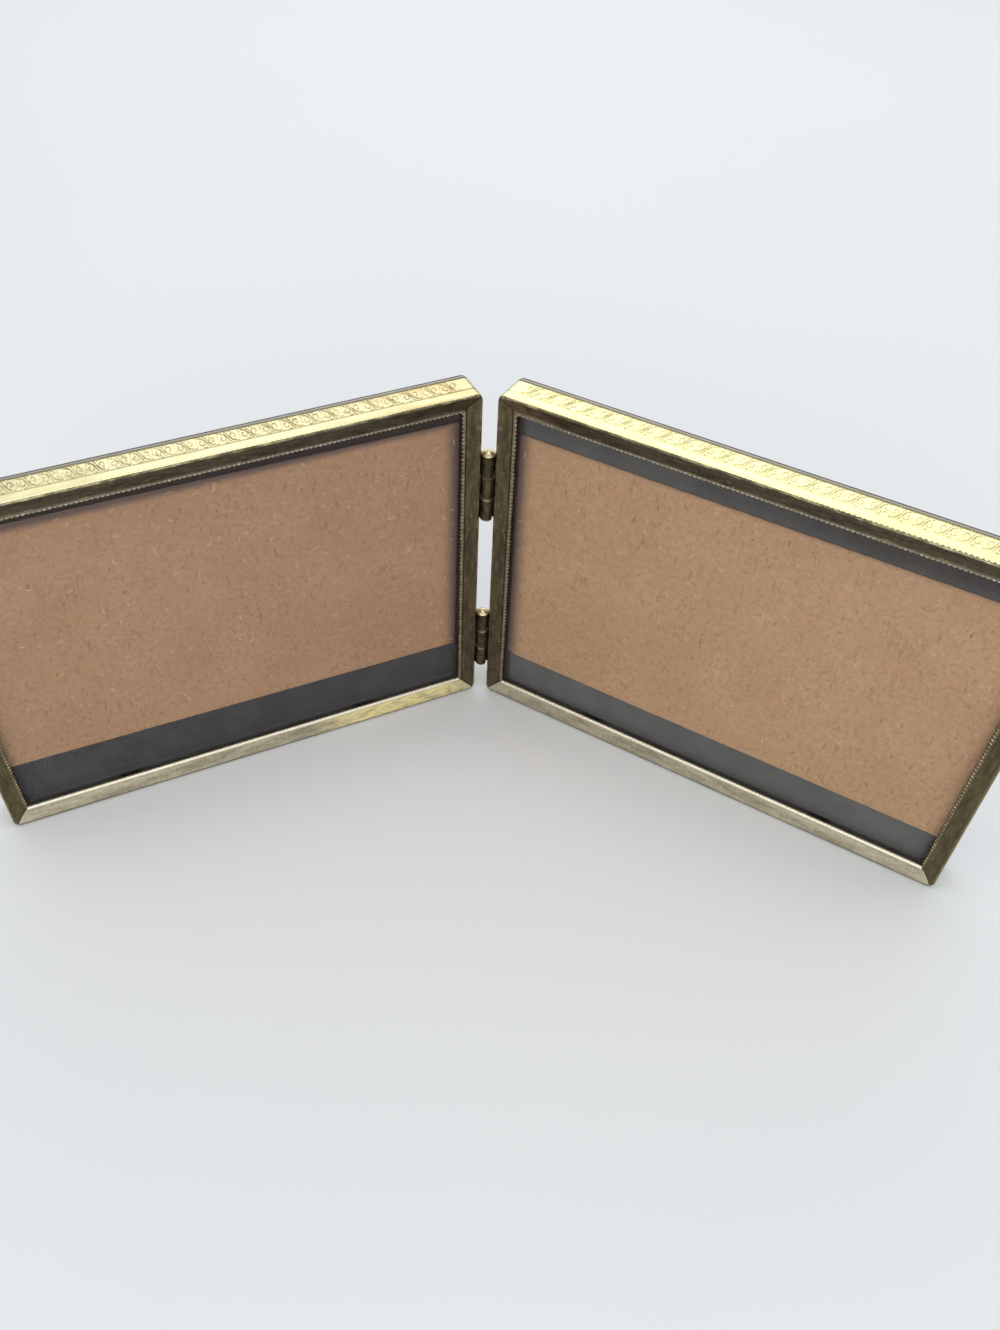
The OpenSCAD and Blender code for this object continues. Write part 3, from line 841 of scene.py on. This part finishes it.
def scroll_runs():
    """The ornament runs on the top and the two upright walls, clear of the hinge plates."""
    y, start = (BAND_FRONT + BAND_BACK) / 2, CORNER_CLEAR + SCROLL_HALF
    low, high = HINGE_LEVELS
    return path_mesh([
        ((start, y, LEAF_H), (LEAF_W - start, y, LEAF_H), (0, 0, 1)),
        ((LEAF_W, y, start), (LEAF_W, y, LEAF_H - start), (1, 0, 0)),
        ((0, y, low + HINGE_H + SCROLL_HALF), (0, y, high - SCROLL_HALF), (-1, 0, 0)),
    ])


def bead_run(part):
    """The milled bead follows the lip on one side of the window."""
    near, y = LIP_IN + BEAD_IN[part], LIP_Y - BEAD_FORWARD
    start = near + BEAD_STOP
    right, top = LEAF_W - near, LEAF_H - near
    ends = {
        "top": ((start, y, top), (LEAF_W - start, y, top)),
        "bottom": ((start, y, near), (LEAF_W - start, y, near)),
        "hinge": ((near, y, start), (near, y, LEAF_H - start)),
        "outer": ((right, y, start), (right, y, LEAF_H - start)),
    }
    return path_mesh([(*ends[part], (0, -1, 0))])


# Make every piece


RUN, SCATTER = run_tree(), scatter_tree()
# For each side of the window: length of a bead, its spread, dark and bright tone, roughness. The
# tones are painted light: bright cream on the bottom as a painted highlight, darkest on the hinge
# side as painted shade
BEADS = {
    "top": (1.22, 0.1, (0.30, 0.27, 0.20), (0.74, 0.68, 0.55), 0.30),
    "bottom": (2.2, 0.0, (0.86, 0.78, 0.58), (1.0, 0.95, 0.80), 0.42),
    "hinge": (1.22, 0.1, (0.11, 0.088, 0.052), (0.36, 0.30, 0.20), 0.30),
    "outer": (0.80, 0.1, (0.24, 0.20, 0.12), (0.74, 0.65, 0.42), 0.30),
}
# For each kind of fibre: how many on a square millimetre, dark and light tone, seed
FIBRES = {
    "pale": (0.034, (0.52, 0.38, 0.25), (0.60, 0.455, 0.32), 7),
    "dark": (0.060, (0.21, 0.130, 0.074), (0.31, 0.20, 0.115), 9),
}


def scroll_band(side):
    # The right leaf's ornament is painted paler too, as part of the painted highlight on its wall
    dark = (0.36, 0.27, 0.12) if side == "left" else (0.68, 0.58, 0.28)
    brass = ornament_finish(f"{side}_scroll_brass", dark, (0.92, 0.83, 0.48), 0.24)
    sizes = {"Pitch": SCROLL_PITCH, "Length spread": 0.0, "Height spread": 0.25, "Seed": 3}
    scrolls = made_by(RUN, scroll_runs(), scroll_unit(), brass, sizes)
    piece(f"{side}_scroll_band", seat(scrolls, side), side)


def lip_beads(side, part):
    length, spread, low, high, rough = BEADS[part]
    brass = ornament_finish(f"{side}_{part}_bead_brass", low, high, rough)
    sizes = {"Pitch": BEAD_PITCH, "Length spread": spread, "Height spread": 0.08, "Seed": 5}
    beads = made_by(RUN, bead_run(part), bead_unit(length), brass, sizes)
    piece(f"{side}_{part}_beads", seat(beads, side), side)


def glass_pane(side):
    pane = pane_mesh()
    pane.materials.append(glass_finish(side))
    piece(f"{side}_glass_pane", seat(pane, side), side, f"{side}_glass", smooth=False)


def card_sheet(side):
    card = card_mesh(side)
    card.materials.append(card_finish(side))
    piece(f"{side}_card_sheet", seat(card, side), side, f"{side}_card", smooth=False)


def loose_fibres(side, tone):
    density, low, high, seed = FIBRES[tone]
    paper = fibre_finish(f"{side}_{tone}_fibre", low, high)
    sizes = {"Density": density, "Smallest": 0.4, "Seed": seed}
    fibres = made_by(SCATTER, sheet_mesh(side), fibre_unit(), paper, sizes)
    piece(f"{side}_{tone}_fibres", seat(fibres, side), side)


for side in SIDES:
    for rail in RAIL_FACE:
        rail_finish(side, rail)
    board_finish(side)
    cloth_finish(side)
    steel_finish(side)
    scroll_band(side)
    for part in BEADS:
        lip_beads(side, part)
    glass_pane(side)
    card_sheet(side)
    for tone in FIBRES:
        loose_fibres(side, tone)
    small_brass(side, "tab", f"{side}_retaining_tabs")
    small_brass(side, "rivet", f"{side}_hinge_rivets")
    for place in HINGES:
        hinge_finish(place, side)

for place in HINGES:
    small_brass(place, "pin", f"{place}_hinge_pin")


# Camera at the photograph's angle, from its perspective


camera = bpy.data.objects.new("camera", bpy.data.cameras.new("camera"))
bpy.context.scene.collection.objects.link(camera)
camera.location = (0.00834, -0.21122, 0.23623)
camera.rotation_euler = Euler([math.radians(a) for a in (40.5505, -0.3627, 4.5042)])
camera.data.sensor_width = 36
camera.data.lens = 30.293
camera.data.shift_x, camera.data.shift_y = 0.03759, 0.08647
camera.data.clip_start, camera.data.clip_end = 0.01, 20
bpy.context.scene.camera = camera


# Pale floor and soft studio light

# In metres: half of the floor's side, and how far it lies below the frame's feet
FLOOR_HALF, FLOOR_DROP = 4, 0.00012


def floor():
    h, z = FLOOR_HALF, -FLOOR_DROP
    mesh = bpy.data.meshes.new("floor")
    mesh.from_pydata([(-h, -h, z), (h, -h, z), (h, h, z), (-h, h, z)], [], [(0, 1, 2, 3)])
    f = Finish("floor_paper", rough=0.9)
    f.shader.inputs["Specular IOR Level"].default_value = 0.15
    cloud = f.noise(f.object_mm(), 0.004, 2.0)
    f.colour(f.mix(cloud, (0.790, 0.814, 0.828), (0.815, 0.839, 0.853)))
    mesh.materials.append(f.mat)
    obj = bpy.data.objects.new("floor", mesh)
    bpy.context.scene.collection.objects.link(obj)


def lamp(name, place, target, width, height, watts):
    data = bpy.data.lights.new(name, "AREA")
    data.shape, data.size, data.size_y, data.energy = "RECTANGLE", width, height, watts
    obj = bpy.data.objects.new(name, data)
    bpy.context.scene.collection.objects.link(obj)
    obj.location = place
    obj.rotation_mode = "QUATERNION"
    obj.rotation_quaternion = (Vector(target) - Vector(place)).to_track_quat("-Z", "Y")


def studio():
    floor()
    world = bpy.data.worlds.new("studio")
    world.use_nodes = True
    sky = world.node_tree.nodes["Background"].inputs
    sky["Color"].default_value, sky["Strength"].default_value = (0.97, 0.985, 1.0, 1), 0.665
    bpy.context.scene.world = world
    lamp("back_window", (0.02, 0.85, 0.54), (0, 0.03, 0.06), 1.3, 0.45, 2.0)
    lamp("ceiling_bank", (0, 0.02, 0.95), (0, 0.02, 0), 1.0, 0.5, 2.4)
    lamp("front_bank", (0, -1.1, 0.42), (0, 0.03, 0.05), 1.5, 0.5, 4.4)
    bpy.context.scene.view_settings.view_transform = "Standard"


studio()
